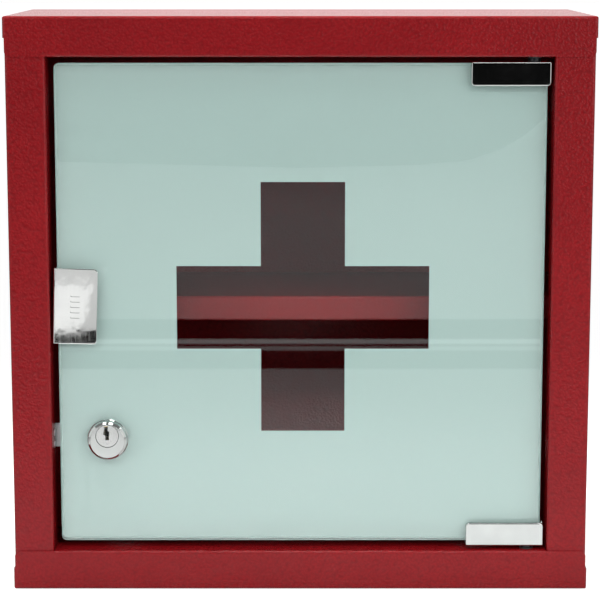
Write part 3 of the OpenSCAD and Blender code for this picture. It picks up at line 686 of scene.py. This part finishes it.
# ---- Pieces --------------------------------------------------------------------


def dress_nodes():
    """Gives every CAD node its slot's material, and rounds its edges."""
    for part in frame["record"]["subparts"]:
        slot = part["material_slot"]
        node = frame["nodes"][part["node"]]
        for place in node.material_slots:
            place.material = SLOT_MATERIALS[slot]
        if slot in SLOT_EDGES:
            soften(node, SLOT_EDGES[slot], weld=True)


def add_piece(obj, body, slot, node):
    """A new piece that rides on a body, has a slot's finish and stands for a CAD node."""
    obj.data.materials.clear()
    obj.data.materials.append(SLOT_MATERIALS[slot])
    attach(obj, body)
    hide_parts(node)
    return obj


# ---- Door glass ------------------------------------------------------------------


def sheet_loops(low, high):
    """Outline of the glass or the film, and its hole for the lock."""
    outline = rounded(low.x, low.z, high.x, high.z, [GLASS_CORNER] * 4)
    return outline, circle(lock_x, lock_z, LOCK_BODY_R + LOCK_HOLE_GAP)


def glass_pane():
    """Glass pane with ground edges and a hole for the lock."""
    low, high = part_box("door_glass")
    pane = plate("glass_pane", sheet_loops(low, high), low.y, high.y, GLASS_ARRIS, 2)
    return add_piece(flatten(shade(pane, FLAT_ANGLE)), "door", "glass", "door_glass")


def frost_sheet():
    """Frosted film on the back of the glass, with the clear cross left out."""
    low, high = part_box("frosted_film")
    outline, hole = sheet_loops(low, high)
    middle_x, _, middle_z = centre(low, high)
    x, z = middle_x + CROSS_RIGHT, middle_z - CROSS_DOWN
    far, near = CROSS_SPAN / 2, CROSS_ARM / 2
    quarter = [(far, near), (near, near), (near, far)]
    cross = []
    for turn in range(4):
        c, s = round(math.cos(turn * math.pi / 2)), round(math.sin(turn * math.pi / 2))
        cross += [(x + c * u - s * v, z + s * u + c * v) for u, v in quarter]
    loops = [outline, cross, hole]
    sheet = plate("frost_sheet", loops, low.y + FILM_OFFSET, high.y, FILM_EDGE, 1)
    return add_piece(flatten(shade(sheet, FLAT_ANGLE)), "door", "frosted_film", "frosted_film")


# ---- Glass clamps ----------------------------------------------------------------


def hinge_clamp(name, node, side):
    """Polished channel over the edge of the glass; side is 1 at the top and -1 at the bottom."""
    low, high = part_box(node)
    glass_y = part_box("door_glass")[0].y
    pads_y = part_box("hinge_pads")[1].y
    free, tight = CLAMP_CORNER, CLAMP_CORNER / 2
    radii = [free, free, tight, tight] if side > 0 else [tight, tight, free, free]
    outline = rounded(low.x, low.z, high.x, high.z, radii)
    clamp = plate(name, [outline], low.y, high.y, CLAMP_EDGE, 4)

    web_z = high.z - CLAMP_WEB if side > 0 else low.z + CLAMP_WEB
    deep_z = web_z - side * (high.z - low.z + OVERCUT)
    slot = block(
        "slot_cutter",
        (low.x - OVERCUT, glass_y, min(web_z, deep_z)),
        (high.x + OVERCUT, pads_y, max(web_z, deep_z)),
    )
    pin_x, pin_y, _ = centre(*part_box("top_pivot_pin"))
    bore = circle(pin_x, pin_y, PIN_HOLE, ROD_SIDES)
    pin = post_cutter(bore, web_z - PIN_REACH, web_z + PIN_REACH)
    screw_z = centre(low, high)[2]
    screws = [
        rod_cutter(
            low.x + share * (high.x - low.x), screw_z, SET_SCREW_HOLE,
            pads_y - OVERCUT, high.y + OVERCUT,
        )
        for share in SET_SCREW_SHARES
    ]
    shade(carve(clamp, [slot, pin] + screws))
    return add_piece(flatten(clamp), "door", "chrome", node)


# ---- Push plate ------------------------------------------------------------------


def push_plate():
    """Polished plate folded round the edge of the glass, with engraved grip strokes."""
    low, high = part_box("push_plate")
    glass_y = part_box("door_glass")[0].y
    pad_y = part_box("push_plate_pad")[1].y
    middle_x, _, middle_z = centre(low, high)
    below, above = low.z - OVERCUT, high.z + OVERCUT

    folded, free = PLATE_EDGE, PLATE_CORNER
    front = rounded(low.x, low.z, high.x, high.z, [folded, free, free, folded])
    piece = plate("push_plate_cover", [front], low.y, high.y, PLATE_EDGE, 3)
    fold = rounded(low.x, low.y, high.x + PLATE_SHEET, high.y, [PLATE_BEND] * 4)
    carve(piece, [post_cutter(fold, below, above)], "INTERSECT")

    slot = rounded(low.x + PLATE_SHEET, glass_y, high.x + OVERCUT, pad_y, [FOLD_R] * 4)
    cutters = [post_cutter(slot, below, above)]
    half_w, half_h = GRIP_WIDTH / 2, GRIP_HEIGHT / 2
    for i in range(GRIP_COUNT):
        z = middle_z + (i - (GRIP_COUNT - 1) / 2) * GRIP_PITCH
        stroke = rounded(
            middle_x - half_w, z - half_h, middle_x + half_w, z + half_h,
            [half_h * GRIP_ROUND] * 4,
        )
        cutters.append(plate("grip_cutter", [stroke], low.y - OVERCUT, low.y + GRIP_DEPTH))
    carve(piece, cutters)

    middle = Matrix.Translation((middle_x, 0, middle_z))
    skew = Matrix.Rotation(math.radians(PLATE_SKEW), 4, "Y")
    piece.data.transform(middle @ skew @ middle.inverted())
    screws = [
        rod_cutter(middle_x, z, PLATE_SCREW_HOLE, pad_y - OVERCUT, high.y + OVERCUT)
        for z in (low.z + PLATE_SCREW_INSET, high.z - PLATE_SCREW_INSET)
    ]
    shade(carve(piece, screws))
    add_piece(flatten(piece), "door", "chrome", "push_plate")
    piece.data.materials[0] = plate_chrome()
    return piece


# ---- Lock ------------------------------------------------------------------------


def lock_bezel():
    """Turned lock body with a conical bezel, bored off centre for the plug."""
    low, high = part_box("lock_housing")
    plug_x, _, plug_z = centre(*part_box("lock_plug"))
    glass_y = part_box("door_glass")[0].y
    rim_y = glass_y - LOCK_RIM
    face_arc = arc(LOCK_FACE_R - LOCK_ROUND, low.y, LOCK_ROUND, 90, -LOCK_ROUND_TURN, 6)
    face_corner = [(r, low.y + LOCK_ROUND - (y - low.y)) for r, y in face_arc]
    profile = [(0, low.y)] + face_corner + [
        (LOCK_FLARE_R, low.y + LOCK_FLARE_DEPTH),
        (LOCK_BEZEL_R - LOCK_BEVEL, rim_y),
        (LOCK_BEZEL_R, rim_y + LOCK_BEVEL),
        (LOCK_BEZEL_R, glass_y - LOCK_FOOT),
        (LOCK_BEZEL_R - LOCK_FOOT, glass_y),
        (LOCK_BODY_R, glass_y),
        (LOCK_BODY_R, high.y - LOCK_BEVEL),
        (LOCK_BODY_R - LOCK_BEVEL, high.y),
        (0, high.y),
    ]
    bezel = lathe("lock_bezel", profile, lock_x, lock_z)
    bore = rod_cutter(plug_x, plug_z, PLUG_HOLE_R, low.y - OVERCUT, high.y + OVERCUT)
    shade(carve(bezel, [bore]))
    soften(bezel, LOCK_SOFT, LOCK_SOFT_ANGLE)
    return add_piece(bezel, "door", "chrome", "lock_housing")


# ---- Touch latch -----------------------------------------------------------------


def latch_coil():
    """Wire spring behind the plunger."""
    low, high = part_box("latch_spring")
    x, _, z = centre(low, high)
    coil_r = (high.x - low.x) / 2 - SPRING_WIRE_R
    start, length = low.y + SPRING_WIRE_R, high.y - low.y - 2 * SPRING_WIRE_R
    curve = bpy.data.curves.new("latch_coil", "CURVE")
    curve.dimensions = "3D"
    curve.bevel_depth = SPRING_WIRE_R
    curve.bevel_resolution = 3
    curve.use_fill_caps = True
    spline = curve.splines.new("POLY")
    count = SPRING_TURNS * SPRING_STEPS
    spline.points.add(count)
    for i, point in enumerate(spline.points):
        turn = 2 * math.pi * i / SPRING_STEPS
        along = start + length * i / count
        point.co = (x + coil_r * math.cos(turn), along, z + coil_r * math.sin(turn), 1)
    mesh = curve_mesh(curve)
    tidy_mesh(mesh)
    coil = shade(add_object("latch_coil", mesh), SPRING_SMOOTH_ANGLE)
    add_piece(coil, "cabinet", "spring_steel", "latch_spring")
    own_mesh(coil)
    return coil


# ---- Camera, lights and floor ------------------------------------------------------


def add_camera():
    """Camera at the photograph's viewing angle."""
    lens = bpy.data.cameras.new("camera")
    lens.lens = CAMERA_LENS
    lens.sensor_width = CAMERA_SENSOR
    lens.clip_start, lens.clip_end = CAMERA_CLIP
    camera = add_object("camera", lens)
    camera.location = (CAMERA_X, cad_low.y - CAMERA_AHEAD, CAMERA_HEIGHT)
    camera.rotation_euler = (math.radians(90 - CAMERA_PITCH), 0, 0)
    bpy.context.scene.camera = camera
    bpy.context.scene.view_settings.view_transform = "Standard"


def add_lamp(name, place, target, width, ratio, power, spread):
    """Soft box at place that shines on target."""
    light = bpy.data.lights.new(name, "AREA")
    light.shape = "RECTANGLE"
    light.size = width
    light.size_y = width * ratio
    light.energy = power
    light.spread = math.radians(spread)
    lamp = add_object(name, light)
    lamp.visible_camera = False
    lamp.visible_glossy = name not in LAMPS_WITHOUT_GLOSS
    lamp.location = place
    lamp.rotation_euler = (Vector(target) - Vector(place)).to_track_quat("-Z", "Y").to_euler()


def add_world():
    """White background for the camera, for gloss and through glass, and a plain level of light."""
    world = bpy.data.worlds.new("studio")
    world.use_nodes = True
    tree = world.node_tree
    tree.nodes.clear()
    light = tree.nodes.new("ShaderNodeBackground")
    shown = tree.nodes.new("ShaderNodeBackground")
    for backdrop, strength in ((light, WORLD_LIGHT), (shown, 1.0)):
        backdrop.inputs["Strength"].default_value = strength
        backdrop.inputs["Color"].default_value = (1, 1, 1, 1)
    path = tree.nodes.new("ShaderNodeLightPath").outputs
    seen = path["Is Camera Ray"]
    for key in ("Is Glossy Ray", "Is Transmission Ray"):
        either = tree.nodes.new("ShaderNodeMath")
        either.operation = "MAXIMUM"
        tree.links.new(seen, either.inputs[0])
        tree.links.new(path[key], either.inputs[1])
        seen = either.outputs[0]
    choice = tree.nodes.new("ShaderNodeMixShader")
    tree.links.new(seen, choice.inputs[0])
    tree.links.new(light.outputs[0], choice.inputs[1])
    tree.links.new(shown.outputs[0], choice.inputs[2])
    out = tree.nodes.new("ShaderNodeOutputWorld")
    tree.links.new(choice.outputs[0], out.inputs["Surface"])
    bpy.context.scene.world = world


def floor_material():
    """Pale matt floor, lifted to white where it is seen."""
    s = Surface("pale_floor")
    worn = tuple(FLOOR_SHADE * c for c in FLOOR_TONE)
    away = s.node("VectorMath", {"operation": "LENGTH"}, Vector=s.place).outputs["Value"]
    lift = s.remap(away, FLOOR_LIFT_NEAR, FLOOR_LIFT_FAR, FLOOR_NEAR, FLOOR_FAR)
    s.set(
        Base_Color=s.mix(s.noise(0.4, 2.0), FLOOR_TONE, worn),
        Roughness=0.9,
        Specular_IOR_Level=0.1,
        Emission_Color=(1, 1, 1, 1),
        Emission_Strength=s.maths("MULTIPLY", s.seen(), lift),
    )
    return s.material


def add_floor():
    """Plain floor under the cabinet."""
    floor = plate("floor", [circle(0, 0, FLOOR_R, FLOOR_SIDES)], 0, FLOOR_DEPTH)
    floor.data.transform(Matrix.Rotation(math.pi / 2, 4, "X"))
    floor.data.transform(Matrix.Translation((0, 0, cad_low.z - FLOOR_GAP - FLOOR_DEPTH)))
    floor.data.materials.append(floor_material())


def card_material(name, strength):
    """Plain card that is only as bright as strength, and clear straight through glass."""
    s = Surface(name)
    glow = s.node("Emission", Color=(1, 1, 1, 1), Strength=strength)
    s.show_blend(s.seen(), glow, s.node("BsdfTransparent"))
    s.tree.nodes.remove(s.shader)
    return s.material


def reflect_only(card, strength):
    """Makes a card of this strength that is seen only in reflections."""
    card.data.materials.append(card_material(card.name, strength))
    card.visible_camera = False
    card.visible_diffuse = False
    card.visible_shadow = False


def add_cards():
    """Dark room and ceiling, and the gap, rails and bounce card on the table."""
    room = plate("dark_room_card", [ROOM_OUTLINE], -ROOM_AHEAD - ROOM_DEPTH, -ROOM_AHEAD)
    reflect_only(room, ROOM_GLOW)
    ceiling = block(
        "ceiling_card",
        (-CEILING_REACH, -CEILING_REACH, CEILING_Z),
        (CEILING_REACH, CEILING_BACK, CEILING_Z + CEILING_DEPTH),
    )
    reflect_only(ceiling, CEILING_GLOW)
    for name, left, right, far, near, bottom, top, strength in TABLE_STRIPS:
        card = block(name, (left, -far, bottom), (right, -near, top))
        reflect_only(card, strength)


# ---- The scene -------------------------------------------------------------------

# Axis of the lock's body
lock_x, _, lock_z = centre(*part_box("lock_gasket"))

add_camera()
add_world()
add_floor()
add_cards()
for lamp_row in LAMPS:
    add_lamp(*lamp_row)

dress_nodes()
glass_pane()
frost_sheet()
hinge_clamp("top_clamp", "top_hinge_clamp", 1)
hinge_clamp("bottom_clamp", "bottom_hinge_clamp", -1)
push_plate()
lock_bezel()
latch_coil()
